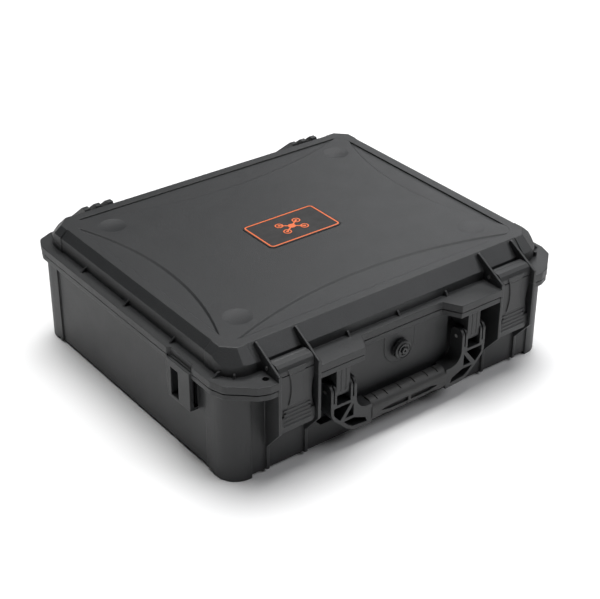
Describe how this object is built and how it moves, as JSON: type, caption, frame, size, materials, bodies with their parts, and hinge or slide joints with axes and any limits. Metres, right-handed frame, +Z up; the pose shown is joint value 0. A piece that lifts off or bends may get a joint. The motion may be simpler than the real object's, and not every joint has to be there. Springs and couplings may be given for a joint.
{
  "type": "drone carrying case",
  "caption": "Hard moulded drone carrying case: hinged lid, front latches, folding handle, purge valve, seal and foam bays inside.",
  "frame": {"origin": "centre of the overall box in plan, on the plane of the four corner feet", "axes": "X is the width, -Y is the front with the latches and handle, +Y is the hinge side, +Z is up"},
  "size_m": [0.423, 0.394, 0.137],
  "materials": {
    "shell_black": "fine-grained moulded plastic",
    "latch_black": "smoother moulded plastic",
    "handle_black": "moulded plastic",
    "grip_rubber": "matt soft grip",
    "steel_pin": "plain steel",
    "gasket_rubber": "soft rubber",
    "foam_dark": "open-cell foam",
    "badge_plate": "satin label",
    "badge_orange": "printed line",
    "valve_black": "moulded plastic",
    "membrane_white": "thin woven disc"
  },
  "bodies": {
    "base": {"base_shell": "shell_black", "handle_pin_left": "steel_pin", "handle_pin_right": "steel_pin", "hinge_pin_left": "steel_pin", "hinge_pin_right": "steel_pin", "valve_body": "valve_black", "valve_oring": "gasket_rubber", "valve_nut": "valve_black", "valve_membrane": "membrane_white", "base_foam_pad": "foam_dark", "base_foam_insert": "foam_dark"},
    "lid": {"lid_shell": "shell_black", "lid_gasket": "gasket_rubber", "latch_pin_left": "steel_pin", "latch_pin_right": "steel_pin", "badge_plate": "badge_plate", "badge_border": "badge_orange", "badge_emblem": "badge_orange", "lid_foam": "foam_dark"},
    "latch_left": {"latch_left": "latch_black"},
    "latch_right": {"latch_right": "latch_black"},
    "handle": {"handle_frame": "handle_black", "handle_grip": "grip_rubber"},
    "valve_knob": {"valve_knob": "valve_black"}
  },
  "joints": [
    {"name": "lid_hinge", "type": "hinge", "parent": "base", "child": "lid", "pos_m": [0, 0.1905, 0.103], "axis": [-1, 0, 0], "range_deg": [0, 100]},
    {"name": "latch_left_pivot", "type": "hinge", "parent": "lid", "child": "latch_left", "pos_m": [-0.1376, -0.178, 0.118], "axis": [-1, 0, 0], "range_deg": [0, 100]},
    {"name": "latch_right_pivot", "type": "hinge", "parent": "lid", "child": "latch_right", "pos_m": [0.1376, -0.178, 0.118], "axis": [-1, 0, 0], "range_deg": [0, 100]},
    {"name": "handle_swing", "type": "hinge", "parent": "base", "child": "handle", "pos_m": [0, -0.184, 0.069], "axis": [-1, 0, 0], "range_deg": [0, 95]},
    {"name": "valve_knob_turn", "type": "hinge", "parent": "base", "child": "valve_knob", "pos_m": [0, -0.178, 0.077], "axis": [0, -1, 0], "range_deg": [0, 270]}
  ]
}
